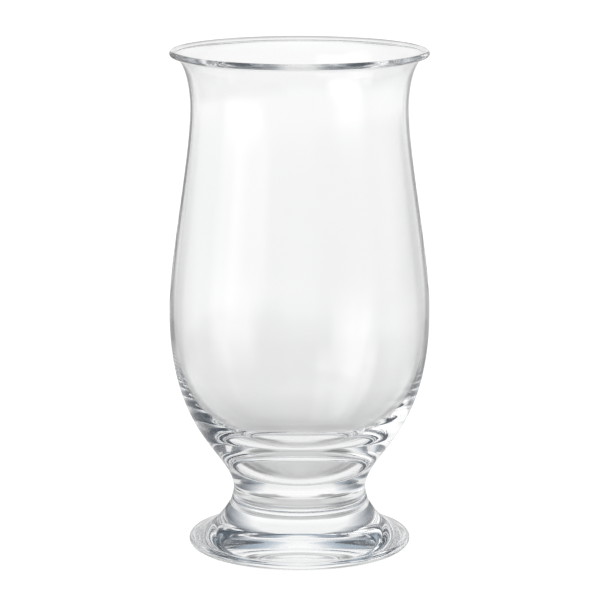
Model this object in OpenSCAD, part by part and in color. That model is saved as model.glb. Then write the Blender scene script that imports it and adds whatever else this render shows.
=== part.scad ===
// Stemmed beer glass with a tulip bowl.
// A blown bowl with a turned-out lip and a beaded rim is fused to a short solid stem,
// and the stem is fused to a flared round foot.
// Millimetres, +Z up. The origin is the middle of the standing ring, on the table.

/* [Foot] */
// Width across the foot
foot_d = 67; // [62:0.5:76]
// Thickness of the rounded edge of the foot
edge_t = 2.7; // [2:0.1:3.6]
// Height of the foot from the table to its joint with the stem
foot_h = 12; // [9:0.5:18]
// Width of the level ring that the foot stands on
ring_w = 1.8; // [1.2:0.1:6]
// Depth of the shallow hollow inside that ring
hollow_h = 1.9; // [0.5:0.1:4]

/* [Stem] */
// Width of the joint between the foot and the stem
low_joint_d = 42.7; // [41:0.1:48]
// Height of the stem between its two joints
stem_h = 8; // [7:0.5:14]
// Width of the stem at its narrowest
neck_d = 39.9; // [34:0.1:40.4]
// Height of the narrowest place above the lower joint
neck_h = 5.2; // [4:0.1:6]
// Width of the joint between the stem and the bowl
high_joint_d = 40.9; // [40.3:0.1:44]

/* [Bowl] */
// Width of the bowl at its widest
belly_d = 78.1; // [72:0.1:90]
// Height of the widest place above the joint with the stem
belly_h = 51.3; // [46:0.1:60]
// Width at the waist below the lip
waist_d = 64.8; // [58:0.1:70]
// Height of the waist above the widest place
waist_h = 61; // [45:0.1:80]
// Width across the rim
rim_d = 76.9; // [73:0.1:82]
// Height of the turned-out lip above the waist
lip_h = 17.7; // [15:0.1:24]
// Thickness of the round bead at the rim
rim_t = 1.9; // [1.6:0.1:2.4]
// Thickness of the lip where it meets the bead
lip_t = 1; // [0.8:0.1:1.4]
// Thickness of the wall at the waist
waist_t = 0.8; // [0.7:0.1:1.6]
// Thickness of the wall at the widest place
belly_t = 1.3; // [1:0.1:2.4]
// Thickness of the wall at the knee, where the inside turns in to the floor
knee_t = 5; // [4:0.1:7]
// Thickness of the glass under the middle of the bowl
floor_t = 3.2; // [2:0.1:6]

/* [Curves] */
// Slope of the foot's top at its edge, in degrees
foot_slope = 14.5; // [5:0.5:25]
// Length over which the foot's top holds that slope
foot_hold = 6; // [3:0.1:8]
// Lean of the outside at the lower joint, in degrees from upright
low_lean = 34; // [20:1:40]
// Length over which the foot holds its lean below the lower joint
low_hold = 3; // [1.5:0.1:4.5]
// Length over which the stem holds its lean and its neck
neck_hold = 1.2; // [0.6:0.1:1.8]
// Lean of the outside at the upper joint, in degrees from upright
high_lean = 17; // [8:1:20]
// Length over which the bowl holds its lean above the upper joint
high_hold = 10.2; // [6:0.1:14]
// Length over which the outside holds its course below the widest place
belly_hold = 35; // [25:0.5:40]
// Length over which the inside holds its course below the widest place
inner_hold = 22; // [16:0.5:26]
// Place of the knee, as a share of the way along the outside from the stem to the widest place
knee_share = 0.48; // [0.42:0.01:0.54]
// Lean of the inside at the knee, in degrees from upright
knee_lean = 48; // [42:1:54]
// Length over which the inside holds that lean above the knee
knee_up = 7.5; // [5:0.1:9]
// Length over which the inside holds that lean below the knee
knee_down = 9; // [6:0.1:10]
// Length over which the floor of the bowl holds level from its middle
floor_hold = 10; // [7:0.1:13]
// Length over which the wall holds its course above the widest place
shoulder_hold = 16; // [10:0.5:22]
// Length over which the wall holds its course below the waist
waist_hold = 14; // [8:0.5:20]
// Length over which the wall holds its course above the waist
lip_hold = 9; // [5:0.5:10]
// Lean of the lip where it meets the bead, in degrees from upright
lip_lean = 64; // [56:1:68]
// Length over which the lip holds that lean below the bead
lip_reach = 2.7; // [1.5:0.1:4]

/* [Hidden] */
// Straight steps that stand for one curve, for one arc and for the circle in previews
curve_steps = 24;
arc_steps = 20;
$fn = 144;

foot_r = foot_d / 2;
edge_r = edge_t / 2;
hollow_r = foot_r - edge_r - ring_w;
low_joint_r = low_joint_d / 2;
neck_r = neck_d / 2;
high_joint_r = high_joint_d / 2;
belly_r = belly_d / 2;
waist_r = waist_d / 2;
rim_r = rim_d / 2;
rim_edge_r = rim_t / 2;

low_joint_z = foot_h;
neck_z = foot_h + neck_h;
high_joint_z = foot_h + stem_h;
floor_z = high_joint_z + floor_t;
belly_z = high_joint_z + belly_h;
waist_z = belly_z + waist_h;
rim_z = waist_z + lip_h;

// Share of the hollow's width over which its roof holds level from the middle
hollow_flat_share = 0.25;
// Shares of the hollow's width and depth at the point that its side is drawn towards
hollow_side_share = 0.5;
hollow_side_rise = 0.5;
// Extra length over which the lip's inside holds its courses, on the longer side of the turn
lip_in_more = 0.4;
// Half of the arc that the bead shows outside the lip, in degrees
bead_half_arc = 180 - asin(lip_t / rim_t);

glass = [0.86, 0.9, 0.92, 0.45];

// Direction of a wall that leans away from upright by an angle, outwards when positive
function lean(angle) = [sin(angle), cos(angle)];

// Point of the cubic curve from a to d, at a share t of the way
function on_curve(a, b, c, d, t) =
    pow(1 - t, 3) * a + 3 * t * pow(1 - t, 2) * b + 3 * t * t * (1 - t) * c + pow(t, 3) * d;

// Points of a cubic curve from a to d, leaving out a so that curves can be joined
function curve(a, b, c, d) = [for (i = [1:curve_steps]) on_curve(a, b, c, d, i / curve_steps)];

// Points of an arc from one lean to another, leaving out the first so that curves can be joined
function arc(centre, radius, from, to) = [
    for (i = [1:arc_steps]) centre + radius * lean(from + (to - from) * i / arc_steps)
];

low_joint = [low_joint_r, low_joint_z];
neck = [neck_r, neck_z];
high_joint = [high_joint_r, high_joint_z];
belly = [belly_r, belly_z];
waist = [waist_r, waist_z];

module bowl() {
    bead = [rim_r - rim_edge_r, rim_z - rim_edge_r];
    bead_start = lip_lean + bead_half_arc;
    bead_end = lip_lean - bead_half_arc;
    lip_under = bead + rim_edge_r * lean(bead_start);
    lip_top = bead + rim_edge_r * lean(bead_end);
    lip_pull = lip_reach * lean(lip_lean);
    lip_in_pull = (lip_reach + lip_in_more) * lean(lip_lean);
    waist_in = waist - [waist_t, 0];
    belly_in = belly - [belly_t, 0];
    low_pull = high_joint + high_hold * lean(high_lean);
    belly_pull = belly - [0, belly_hold];
    knee = on_curve(high_joint, low_pull, belly_pull, belly, knee_share) - [knee_t, 0];
    outside = concat(
        curve(high_joint, low_pull, belly_pull, belly),
        curve(belly, belly + [0, shoulder_hold], waist - [0, waist_hold], waist),
        curve(waist, waist + [0, lip_hold], lip_under - lip_pull, lip_under)
    );
    inside = concat(
        curve(lip_top, lip_top - lip_in_pull, waist_in + [0, lip_hold + lip_in_more], waist_in),
        curve(waist_in, waist_in - [0, waist_hold], belly_in + [0, shoulder_hold], belly_in),
        curve(belly_in, belly_in - [0, inner_hold], knee + knee_up * lean(knee_lean), knee),
        curve(knee, knee - knee_down * lean(knee_lean), [floor_hold, floor_z], [0, floor_z])
    );
    color(glass)
        rotate_extrude()
            polygon(concat(
                [[0, high_joint_z], high_joint],
                outside,
                arc(bead, rim_edge_r, bead_start, bead_end),
                inside
            ));
}

module stem() {
    color(glass)
        rotate_extrude()
            polygon(concat(
                [[0, low_joint_z], low_joint],
                curve(low_joint, low_joint + neck_hold * lean(-low_lean), neck - [0, neck_hold], neck),
                curve(neck, neck + [0, neck_hold], high_joint - neck_hold * lean(high_lean), high_joint),
                [[0, high_joint_z]]
            ));
}

module foot() {
    edge_top = [foot_r - edge_r, edge_t];
    hollow_top = [0, hollow_h];
    hollow_roof = [hollow_flat_share * hollow_r, hollow_h];
    hollow_side = [hollow_side_share * hollow_r, hollow_side_rise * hollow_h];
    color(glass)
        rotate_extrude()
            polygon(concat(
                [hollow_top],
                curve(hollow_top, hollow_roof, hollow_side, [hollow_r, 0]),
                [[foot_r - edge_r, 0]],
                arc([foot_r - edge_r, edge_r], edge_r, 180, 0),
                curve(edge_top, edge_top + foot_hold * lean(foot_slope - 90),
                    low_joint - low_hold * lean(-low_lean), low_joint),
                [[0, low_joint_z]]
            ));
}

bowl();
stem();
foot();
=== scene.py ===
"""A clear beer glass on a white sweep: a tulip bowl, a short stem and a flared foot."""
import math

import bpy
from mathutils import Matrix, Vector


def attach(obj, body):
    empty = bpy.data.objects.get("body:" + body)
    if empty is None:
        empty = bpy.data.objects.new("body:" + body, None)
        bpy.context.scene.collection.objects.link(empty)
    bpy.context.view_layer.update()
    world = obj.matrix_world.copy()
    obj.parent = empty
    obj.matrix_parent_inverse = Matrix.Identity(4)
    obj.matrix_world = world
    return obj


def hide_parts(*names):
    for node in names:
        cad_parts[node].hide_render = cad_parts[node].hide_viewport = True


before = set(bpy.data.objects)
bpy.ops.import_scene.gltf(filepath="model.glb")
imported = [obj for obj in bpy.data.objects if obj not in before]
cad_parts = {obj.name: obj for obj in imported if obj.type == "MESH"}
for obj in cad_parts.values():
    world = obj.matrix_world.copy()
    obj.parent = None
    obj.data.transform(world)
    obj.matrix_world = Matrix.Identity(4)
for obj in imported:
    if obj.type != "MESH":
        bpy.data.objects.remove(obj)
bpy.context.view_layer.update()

MM = 0.001

# Outline of the glass, in millimetres, as the solids have it. Points are (radius, height).
FOOT_R = 33.5
FOOT_EDGE_R = 1.35
FOOT_H = 12.0
RING_W = 1.8
HOLLOW_H = 1.9
LOW_JOINT = Vector((21.35, FOOT_H))
NECK = Vector((19.95, 17.2))
HIGH_JOINT = Vector((20.45, 20.0))
FLOOR_Z = 23.2
BELLY = Vector((39.05, 71.3))
WAIST = Vector((32.4, 132.3))
RIM_R = 38.45
RIM_Z = 150.0
BEAD_R = 0.95

# Thickness of the wall
LIP_T = 1.0
WAIST_T = 0.8
BELLY_T = 1.3
KNEE_T = 5.0

# Leans of the outline, in degrees from upright, and the foot's slope, in degrees from level
LIP_LEAN = 64.0
KNEE_LEAN = 48.0
HIGH_LEAN = 17.0
LOW_LEAN = 34.0
FOOT_SLOPE = 14.5

# Lengths over which the curves hold their direction
LIP_REACH = 2.7
LIP_IN_MORE = 0.4
LIP_HOLD = 9.0
WAIST_HOLD = 14.0
SHOULDER_HOLD = 16.0
BELLY_HOLD = 35.0
INNER_HOLD = 22.0
KNEE_UP = 7.5
KNEE_DOWN = 9.0
FLOOR_HOLD = 10.0
HIGH_HOLD = 10.2
NECK_HOLD = 1.2
LOW_HOLD = 3.0
FOOT_HOLD = 6.0

# Place of the knee, as a share of the way up the lower wall
KNEE_SHARE = 0.48
# Shares of the hollow's width and depth at the points that its curve is drawn towards
HOLLOW_FLAT_SHARE = 0.25
HOLLOW_SIDE_SHARE = 0.5
HOLLOW_SIDE_RISE = 0.5

# Steps round the axis and along one curve of the outline
TURNS = 256
CURVE_STEPS = 28
# Millimetres between the bowl's joint face and the stem's
JOINT_GAP = 0.002
# Distances within which two knots, in millimetres, or two points of a mesh, in metres, are one
SAME_KNOT = 1e-6
SAME_POINT = 1e-7
# Edges that turn by more than this stay sharp
SMOOTH_ANGLE = math.radians(32)

UP = Vector((0, 1))
OUT = Vector((1, 0))


def leaning(angle):
    """Direction of a wall that leans outwards from upright by an angle in degrees."""
    return Vector((math.sin(math.radians(angle)), math.cos(math.radians(angle))))


def arc(centre, radius, start, end):
    """Knots of an arc from one lean to another, with a knot at each quarter turn or sooner."""
    parts = math.ceil(abs(end - start) / 90)
    step = (end - start) / parts
    pull = 4 / 3 * math.tan(math.radians(step) / 4) * radius
    knots = []
    for i in range(parts + 1):
        point = centre + radius * leaning(start + i * step)
        onward = pull * leaning(start + i * step + 90)
        before = point - onward if i > 0 else None
        after = point + onward if i < parts else None
        knots.append((point, before, after))
    return knots


def curve(a, b, c, d):
    """Knots of one cubic curve."""
    return [(a, None, b), (d, c, None)]


def on_curve(a, b, c, d, t):
    """Point of one cubic curve, at a share t of the way."""
    return (1 - t) ** 3 * a + 3 * t * (1 - t) ** 2 * b + 3 * t * t * (1 - t) * c + t ** 3 * d


def join(*runs):
    """Puts runs of knots end to end: where two runs meet, one knot keeps both handles."""
    knots = []
    for run in runs:
        for point, before, after in run:
            if knots and (knots[-1][0] - point).length < SAME_KNOT:
                knots[-1] = (point, knots[-1][1], after)
            else:
                knots.append((point, before, after))
    return knots


def bowl_outline():
    """Up the outside from the joint, round the bead of the rim, and down the inside to the floor."""
    half_arc = 180 - math.degrees(math.asin(LIP_T / (2 * BEAD_R)))
    bead_middle = Vector((RIM_R - BEAD_R, RIM_Z - BEAD_R))
    bead = arc(bead_middle, BEAD_R, LIP_LEAN + half_arc, LIP_LEAN - half_arc)
    lip_under = bead[0][0]
    lip_top = bead[-1][0]
    lip_way = leaning(LIP_LEAN)
    waist_in = WAIST - WAIST_T * OUT
    belly_in = BELLY - BELLY_T * OUT
    floor = Vector((0, FLOOR_Z))
    lower_wall = (HIGH_JOINT, HIGH_JOINT + HIGH_HOLD * leaning(HIGH_LEAN), BELLY - BELLY_HOLD * UP, BELLY)
    knee = on_curve(*lower_wall, KNEE_SHARE) - KNEE_T * OUT
    knee_way = leaning(KNEE_LEAN)
    return join(
        curve(*lower_wall),
        curve(BELLY, BELLY + SHOULDER_HOLD * UP, WAIST - WAIST_HOLD * UP, WAIST),
        curve(WAIST, WAIST + LIP_HOLD * UP, lip_under - LIP_REACH * lip_way, lip_under),
        bead,
        curve(lip_top, lip_top - (LIP_REACH + LIP_IN_MORE) * lip_way,
              waist_in + (LIP_HOLD + LIP_IN_MORE) * UP, waist_in),
        curve(waist_in, waist_in - WAIST_HOLD * UP, belly_in + SHOULDER_HOLD * UP, belly_in),
        curve(belly_in, belly_in - INNER_HOLD * UP, knee + KNEE_UP * knee_way, knee),
        curve(knee, knee - KNEE_DOWN * knee_way, floor + FLOOR_HOLD * OUT, floor),
    )


def stem_outline():
    """Up the outside from the lower joint, through the neck, to the upper joint."""
    return join(
        curve(LOW_JOINT, LOW_JOINT + NECK_HOLD * leaning(-LOW_LEAN), NECK - NECK_HOLD * UP, NECK),
        curve(NECK, NECK + NECK_HOLD * UP, HIGH_JOINT - NECK_HOLD * leaning(HIGH_LEAN), HIGH_JOINT),
    )


def foot_outline():
    """From the roof of the hollow, over the standing ring and the rounded edge, up to the joint."""
    hollow_r = FOOT_R - FOOT_EDGE_R - RING_W
    roof = Vector((0, HOLLOW_H))
    roof_end = Vector((HOLLOW_FLAT_SHARE * hollow_r, HOLLOW_H))
    side = Vector((HOLLOW_SIDE_SHARE * hollow_r, HOLLOW_SIDE_RISE * HOLLOW_H))
    ring_in = Vector((hollow_r, 0))
    ring_out = Vector((FOOT_R - FOOT_EDGE_R, 0))
    edge_middle = ring_out + FOOT_EDGE_R * UP
    edge_top = ring_out + 2 * FOOT_EDGE_R * UP
    return join(
        curve(roof, roof_end, side, ring_in),
        curve(ring_in, ring_in.lerp(ring_out, 1 / 3), ring_in.lerp(ring_out, 2 / 3), ring_out),
        arc(edge_middle, FOOT_EDGE_R, 180, 0),
        curve(edge_top, edge_top + FOOT_HOLD * leaning(FOOT_SLOPE - 90),
              LOW_JOINT - LOW_HOLD * leaning(-LOW_LEAN), LOW_JOINT),
    )


def close_joints():
    """Fills each open ring of the mesh in edit mode with one flat face."""
    bpy.ops.mesh.select_mode(type="EDGE")
    bpy.ops.mesh.select_all(action="DESELECT")
    bpy.ops.mesh.select_non_manifold(extend=False, use_wire=False, use_boundary=True,
                                     use_multi_face=False, use_non_contiguous=False, use_verts=False)
    bpy.ops.mesh.edge_face_add()
    bpy.ops.mesh.select_mode(type="FACE")


def turned(name, knots, lift=0.0):
    """Draws half a section as a curve, spins it round the axis, and closes the joints with flat faces."""
    bpy.ops.object.select_all(action="DESELECT")
    bpy.ops.curve.primitive_bezier_curve_add(location=(0, 0, 0))
    piece = bpy.context.object
    spline = piece.data.splines[0]
    piece.data.dimensions = "3D"
    piece.data.resolution_u = CURVE_STEPS
    spline.resolution_u = CURVE_STEPS
    spline.bezier_points.add(len(knots) - 2)
    for bezier, (point, before, after) in zip(spline.bezier_points, knots):
        bezier.handle_left_type = "FREE"
        bezier.handle_right_type = "FREE"
        places = {"co": point, "handle_left": before or point, "handle_right": after or point}
        for part, place in places.items():
            setattr(bezier, part, Vector((place.x, 0, place.y + lift)) * MM)
    bpy.ops.object.convert(target="MESH")
    piece.name = name
    piece.data.name = name
    bpy.ops.object.mode_set(mode="EDIT")
    bpy.ops.mesh.select_all(action="SELECT")
    bpy.ops.mesh.spin(steps=TURNS, angle=2 * math.pi, center=(0, 0, 0), axis=(0, 0, 1))
    bpy.ops.mesh.select_all(action="SELECT")
    bpy.ops.mesh.remove_doubles(threshold=SAME_POINT)
    close_joints()
    bpy.ops.mesh.select_all(action="SELECT")
    bpy.ops.mesh.normals_make_consistent(inside=False)
    bpy.ops.object.mode_set(mode="OBJECT")
    bpy.ops.object.shade_smooth_by_angle(angle=SMOOTH_ANGLE)
    return piece


class Socket:
    """A shader socket that can be reckoned with, so that maths is written as Python."""

    def __init__(self, tree, socket):
        self.tree = tree
        self.socket = socket

    def maths(self, operation, *values, clamp=False):
        return make(self.tree, "ShaderNodeMath", dict(operation=operation, use_clamp=clamp), values)

    def __add__(self, other):
        return self.maths("ADD", self, other)

    def __radd__(self, other):
        return self.maths("ADD", other, self)

    def __sub__(self, other):
        return self.maths("SUBTRACT", self, other)

    def __rsub__(self, other):
        return self.maths("SUBTRACT", other, self)

    def __mul__(self, other):
        return self.maths("MULTIPLY", self, other)

    def __rmul__(self, other):
        return self.maths("MULTIPLY", other, self)

    def __truediv__(self, other):
        return self.maths("DIVIDE", self, other)

    def __rtruediv__(self, other):
        return self.maths("DIVIDE", other, self)

    def __abs__(self):
        return self.maths("ABSOLUTE", self)

    def step(self, low, high):
        """0 below low, 1 above high, even between."""
        return self.maths("DIVIDE", self - low, high - low, clamp=True)

    def within(self, low, high, soft):
        """1 between low and high, with soft borders."""
        return self.step(low - soft, low + soft) * (1 - self.step(high - soft, high + soft))


def make(tree, kind, settings=None, values=(), out=0):
    """Adds a node, sets it up, feeds its sockets by place or by name, and gives back one of its outputs."""
    node = tree.nodes.new(kind)
    for key, value in (settings or {}).items():
        if key == "stops":
            ramp = node.color_ramp.elements
            while len(ramp) < len(value):
                ramp.new(0.5)
            for element, (place, colour) in zip(ramp, value):
                element.position = place
                element.color = colour
        else:
            setattr(node, key, value)
    pairs = values.items() if isinstance(values, dict) else enumerate(values)
    for key, value in pairs:
        if isinstance(value, Socket):
            tree.links.new(value.socket, node.inputs[key])
        else:
            node.inputs[key].default_value = value
    return Socket(tree, node.outputs[out]) if len(node.outputs) else node


def blank(owner):
    """The emptied node tree of a material or a world."""
    owner.use_nodes = True
    owner.node_tree.nodes.clear()
    return owner.node_tree


def mixed(tree, share, a, b):
    """Colour a where share is 0, b where it is 1."""
    return make(tree, "ShaderNodeMix", dict(data_type="RGBA"), {0: share, 6: a, 7: b}, out=2)


def split(tree, vector):
    """The three parts of a vector."""
    node = make(tree, "ShaderNodeSeparateXYZ", None, [vector]).socket.node
    return [Socket(tree, output) for output in node.outputs]


def grey(level):
    return (level, level, level, 1)


# Tints between which the glass streaks
WATER_WHITE = (0.995, 0.995, 0.995, 1)
FAINT_GREY = (0.989, 0.991, 0.991, 1)
FAINT_BLUE = (0.974, 0.984, 0.99, 1)
GLASS_IOR = 1.52
# Height and size of the waves left by hot working, in millimetres
BOWL_WAVE_H = 0.01
BOWL_WAVE_SIZE = 18
BASE_WAVE_H = 0.005
BASE_WAVE_SIZE = 10
# How much the pattern counts the height, so that it is drawn out along the axis
WAVE_STRETCH = 0.3
# Streaks to a wave
STREAKS = 2.5


def glass(name, thin, thick, wave_h, wave_size):
    """Clear soda glass: faintly wavy from hot working, and faintly streaked between two near-white tints."""
    material = bpy.data.materials.new(name)
    tree = blank(material)
    place = make(tree, "ShaderNodeTexCoord", out="Object")
    drawn = make(tree, "ShaderNodeMapping", None, {"Vector": place, "Scale": (1, 1, WAVE_STRETCH)})
    waves = make(tree, "ShaderNodeTexNoise", None, {
        "Vector": drawn, "Scale": 1 / (wave_size * MM), "Detail": 1.0})
    streaks = make(tree, "ShaderNodeTexNoise", None, {
        "Vector": drawn, "Scale": STREAKS / (wave_size * MM), "Detail": 2.0})
    bump = make(tree, "ShaderNodeBump", None, {
        "Strength": 1.0, "Distance": wave_h * MM, "Height": waves}, out="Normal")
    shader = make(tree, "ShaderNodeBsdfPrincipled", None, {
        "Base Color": mixed(tree, streaks, thin, thick), "Roughness": 0.0, "IOR": GLASS_IOR,
        "Transmission Weight": 1.0, "Normal": bump})
    make(tree, "ShaderNodeOutputMaterial", None, {"Surface": shader})
    return material


def fused(name):
    """The face of a fused joint: glass meets glass, so light goes straight through."""
    material = bpy.data.materials.new(name)
    tree = blank(material)
    shader = make(tree, "ShaderNodeBsdfTransparent")
    make(tree, "ShaderNodeOutputMaterial", None, {"Surface": shader})
    return material


def dress(piece, clear, joint, node):
    """Gives a piece its glass, its joint faces their own material, and its place in the part."""
    piece.data.materials.append(clear)
    piece.data.materials.append(joint)
    for face in piece.data.polygons:
        face.material_index = 1 if len(face.vertices) == TURNS else 0
    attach(piece, "root")
    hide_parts(node)


joint_face = fused("fused_joint")
bowl = turned("tulip_bowl", bowl_outline(), lift=JOINT_GAP)
stem = turned("short_stem", stem_outline())
foot = turned("flared_foot", foot_outline())
bowl_clear = glass("clear_bowl", WATER_WHITE, FAINT_GREY, BOWL_WAVE_H, BOWL_WAVE_SIZE)
stem_clear = glass("clear_stem", WATER_WHITE, FAINT_BLUE, BASE_WAVE_H, BASE_WAVE_SIZE)
foot_clear = glass("clear_foot", WATER_WHITE, FAINT_BLUE, BASE_WAVE_H, BASE_WAVE_SIZE)
dress(bowl, bowl_clear, joint_face, "bowl")
dress(stem, stem_clear, joint_face, "stem")
dress(foot, foot_clear, joint_face, "foot")

# The sweep: its width, squares along a side and drop below the glass, in metres, and its paper
SWEEP_SIZE = 6
SWEEP_SQUARES = 8
SWEEP_DROP = 0.00005
PAPER_GREY = 0.3
PAPER_GLOW = 0.92


def white_sweep():
    """The floor: it glows as white as the backdrop, and is paper enough to take the glass's shadow."""
    bpy.ops.object.select_all(action="DESELECT")
    bpy.ops.mesh.primitive_grid_add(x_subdivisions=SWEEP_SQUARES, y_subdivisions=SWEEP_SQUARES,
                                    size=SWEEP_SIZE, location=(0, 0, -SWEEP_DROP))
    floor = bpy.context.object
    floor.name = "sweep"
    bpy.ops.object.transform_apply(location=True, rotation=True, scale=True)
    material = bpy.data.materials.new("white_paper")
    tree = blank(material)
    paper = make(tree, "ShaderNodeBsdfDiffuse", None, {"Color": grey(PAPER_GREY)})
    glow = make(tree, "ShaderNodeEmission", None, {"Color": grey(1), "Strength": PAPER_GLOW})
    both = make(tree, "ShaderNodeAddShader", None, [paper, glow])
    make(tree, "ShaderNodeOutputMaterial", None, {"Surface": both})
    floor.data.materials.append(material)
    # What the glass bends and mirrors is the painted studio, not the paper
    floor.visible_transmission = False
    floor.visible_glossy = False
    floor.visible_diffuse = False


white_sweep()

# The studio as light that has come through the glass meets it. First how it brightens with height
# straight behind the glass, as (degrees above level, light).
BACKDROP = [
    (-90, 0.68), (-60, 0.6), (-41, 0.54), (-30, 0.66), (-24.5, 0.79), (-20, 0.87), (-17, 0.875),
    (-13.3, 0.88), (-12.2, 0.93), (-11.2, 0.955), (-9.4, 0.968), (-7.5, 0.98), (-6.5, 1.01),
    (5, 1.02), (16, 0.93), (50, 0.93), (70, 1.0), (90, 1.0),
]
# Then patches that are painted over it, each over the ones before, in degrees:
# (turn from straight behind to the right, half width, bottom, top, softness of sides, of ends, light).
SURROUNDINGS = [
    # The room beyond the backdrop: a light floor, and walls that are darkest near eye level
    (180, 140, -50, -6, 12, 5, 0.87),
    (180, 142, -3, 76, 16, 7, (0.36, 0.44, 0.52)),
    (180, 142, 3, 47, 16, 6, (0.07, 0.085, 0.105)),
    (72, 34, -7, 6, 10, 2, (0.15, 0.16, 0.18)),
    # Dark corners high up, which the foot shows as its window
    (42, 18, 42, 63, 4, 4, (0.05, 0.065, 0.09)),
    (-42, 18, 42, 63, 4, 4, (0.04, 0.055, 0.08)),
    # A dark wall on the right behind the camera, small lights at the sides, and a bright wall on the left
    (128, 36, -4, 56, 6, 5, (0.015, 0.03, 0.05)),
    (101, 5, 4, 20, 2, 3, 0.6),
    (-101, 6, 4, 20, 2, 3, 1.1),
    (-129, 19, -9, 36, 4, 4, 1.3),
    (-152, 9, 17, 38, 4, 4, 1.3),
    # Dark places low down beside the sweep, which draw the lines in the stem and the lower bowl
    (80, 22, -44, -26, 6, 4, 0.42),
    (-31, 12, -36, -18, 4, 3, 0.2),
    (-32, 12, -52, -36, 5, 4, 0.38),
    (30, 12, -36, -18, 4, 3, 0.3),
    (32, 12, -52, -36, 5, 4, 0.45),
    # The edges of the backdrop, which darken the sides of the bowl
    (-17, 5, -10, -5, 2, 1.5, 0.22),
    (-23, 13, -17, -10, 5, 2, 0.31),
    (19, 6, -10, -5, 2, 1.5, 0.48),
    (23, 14, -18, -10, 5, 2, 0.4),
]
# The studio as the outside of the glass mirrors it, in the same two forms
ROOM = [(-90, 0.5), (-40, 0.48), (-25, 0.62), (-14, 0.85), (0, 0.85), (10, 0.7), (90, 0.6)]
SOFTBOXES = [
    # Pale walls at the sides
    (76, 20, -24, 12, 8, 6, 1.05),
    (-70, 13, -24, -6, 6, 4, 1.1),
    # The tall streak on the left of the bowl
    (-110, 14, -8, 40, 6, 6, 1.65),
    (-119, 21, -19, -3, 6, 6, 2.9),
    # The shorter streak on the right
    (126, 15, -32, -2, 6, 7, 2.2),
    (131, 13, -50, -32, 6, 6, 1.7),
    # The edges of the backdrop
    (-22, 10, -16, 0, 3, 3, 0.35),
    (22, 10, -16, 0, 3, 3, 0.4),
]


def painted(tree, turn, rise, ground, patches):
    """Paints patches of light over a ground that changes with height."""
    stops = [((height + 90) / 180, grey(light)) for height, light in ground]
    colour = make(tree, "ShaderNodeValToRGB", dict(stops=stops), [(rise + math.pi / 2) / math.pi])
    for middle, half, bottom, top, soft, soft_end, light in patches:
        off = abs(turn.maths("WRAP", turn - math.radians(middle), math.pi, -math.pi))
        across = 1 - off.step(math.radians(half - soft), math.radians(half + soft))
        up = rise.within(math.radians(bottom), math.radians(top), math.radians(soft_end))
        paint = (*light, 1) if isinstance(light, tuple) else grey(light)
        colour = mixed(tree, across * up, colour, paint)
    return colour


def studio():
    """White to the camera, and a studio of light and dark to the light that the glass bends or mirrors."""
    world = bpy.data.worlds.new("studio")
    bpy.context.scene.world = world
    tree = blank(world)
    x, y, z = split(tree, make(tree, "ShaderNodeTexCoord", out="Generated"))
    turn = x.maths("ARCTAN2", x, y)
    rise = z.maths("ARCSINE", z)
    through = painted(tree, turn, rise, BACKDROP, SURROUNDINGS)
    mirrored = painted(tree, turn, rise, ROOM, SOFTBOXES)
    seen = mixed(tree, make(tree, "ShaderNodeLightPath", out="Is Transmission Ray"), mirrored, through)
    seen = mixed(tree, make(tree, "ShaderNodeLightPath", out="Is Camera Ray"), seen, grey(1))
    make(tree, "ShaderNodeOutputWorld", None, [make(tree, "ShaderNodeBackground", None, [seen])])


studio()

# The camera as fitted to the photograph: metres, radians, and pixels of the photograph
CAMERA_BACK = 0.865664
CAMERA_H = 0.247435
CAMERA_DIP = 0.197019
PHOTO_W = 600
FOCAL_LENGTH = 2942.597
MIDDLE_SHIFT = 0.5
# Millimetres, and metres
SENSOR_W = 36
NEAR_CLIP = 0.01


def camera():
    """The photograph's camera, in front of the glass and a little above it."""
    data = bpy.data.cameras.new("photo_camera")
    holder = bpy.data.objects.new("photo_camera", data)
    bpy.context.scene.collection.objects.link(holder)
    holder.location = (0, -CAMERA_BACK, CAMERA_H)
    holder.rotation_euler = (math.pi / 2 - CAMERA_DIP, 0, 0)
    data.sensor_width = SENSOR_W
    data.lens = FOCAL_LENGTH / PHOTO_W * SENSOR_W
    data.shift_x = MIDDLE_SHIFT / PHOTO_W
    data.clip_start = NEAR_CLIP
    bpy.context.scene.camera = holder


camera()

# Light runs far round inside a thick rim or foot before it leaves, and passes several joint faces
BOUNCES = 200
JOINT_PASSES = 64

scene = bpy.context.scene
scene.view_settings.view_transform = "Standard"
scene.cycles.max_bounces = BOUNCES
scene.cycles.transmission_bounces = BOUNCES
scene.cycles.glossy_bounces = BOUNCES
scene.cycles.transparent_max_bounces = JOINT_PASSES
